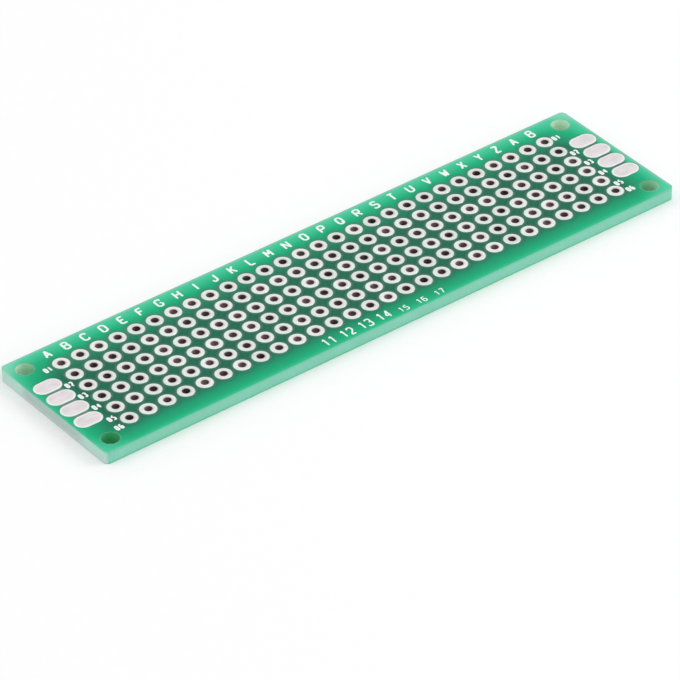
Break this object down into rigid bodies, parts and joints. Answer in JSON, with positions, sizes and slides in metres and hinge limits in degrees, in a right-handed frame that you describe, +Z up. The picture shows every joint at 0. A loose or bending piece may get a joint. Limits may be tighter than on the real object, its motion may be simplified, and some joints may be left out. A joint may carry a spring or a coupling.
{
  "type": "prototype board",
  "caption": "Thin rectangular double-sided prototype board: green solder mask, a grid of plated lead holes with round pads, oblong end pads and a screw hole in each corner.",
  "frame": {"origin": "under the board's centre, on the plane of the lower pads' faces, which is what it rests on", "axes": "+X along the board's length, the way the column letters run; +Y across it, towards the lettered long edge; +Z up, out of the face that the picture shows"},
  "size_m": [0.08, 0.02, 0.0016],
  "materials": {
    "laminate": "pale mint glass-fibre epoxy laminate, slightly translucent, with sawn edges",
    "solder_mask": "semi-gloss green solder mask",
    "hole_plating": "tinned copper, pale silver",
    "end_pad_tin": "tinned copper, pale silver",
    "index_print": "white screen-printed ink, matt; only the scene's print uses it"
  },
  "bodies": {
    "root": {"laminate": "laminate", "solder_mask_top": "solder_mask", "solder_mask_bottom": "solder_mask", "plated_holes_column_01": "hole_plating", "plated_holes_column_02": "hole_plating", "plated_holes_column_03": "hole_plating", "plated_holes_column_04": "hole_plating", "plated_holes_column_05": "hole_plating", "plated_holes_column_06": "hole_plating", "plated_holes_column_07": "hole_plating", "plated_holes_column_08": "hole_plating", "plated_holes_column_09": "hole_plating", "plated_holes_column_10": "hole_plating", "plated_holes_column_11": "hole_plating", "plated_holes_column_12": "hole_plating", "plated_holes_column_13": "hole_plating", "plated_holes_column_14": "hole_plating", "plated_holes_column_15": "hole_plating", "plated_holes_column_16": "hole_plating", "plated_holes_column_17": "hole_plating", "plated_holes_column_18": "hole_plating", "plated_holes_column_19": "hole_plating", "plated_holes_column_20": "hole_plating", "plated_holes_column_21": "hole_plating", "plated_holes_column_22": "hole_plating", "plated_holes_column_23": "hole_plating", "plated_holes_column_24": "hole_plating", "plated_holes_column_25": "hole_plating", "plated_holes_column_26": "hole_plating", "plated_holes_column_27": "hole_plating", "plated_holes_column_28": "hole_plating", "left_top_end_pad_1": "end_pad_tin", "left_top_end_pad_2": "end_pad_tin", "left_top_end_pad_3": "end_pad_tin", "left_top_end_pad_4": "end_pad_tin", "left_bottom_end_pad_1": "end_pad_tin", "left_bottom_end_pad_2": "end_pad_tin", "left_bottom_end_pad_3": "end_pad_tin", "left_bottom_end_pad_4": "end_pad_tin", "right_top_end_pad_1": "end_pad_tin", "right_top_end_pad_2": "end_pad_tin", "right_top_end_pad_3": "end_pad_tin", "right_top_end_pad_4": "end_pad_tin", "right_bottom_end_pad_1": "end_pad_tin", "right_bottom_end_pad_2": "end_pad_tin", "right_bottom_end_pad_3": "end_pad_tin", "right_bottom_end_pad_4": "end_pad_tin"}
  },
  "joints": []
}
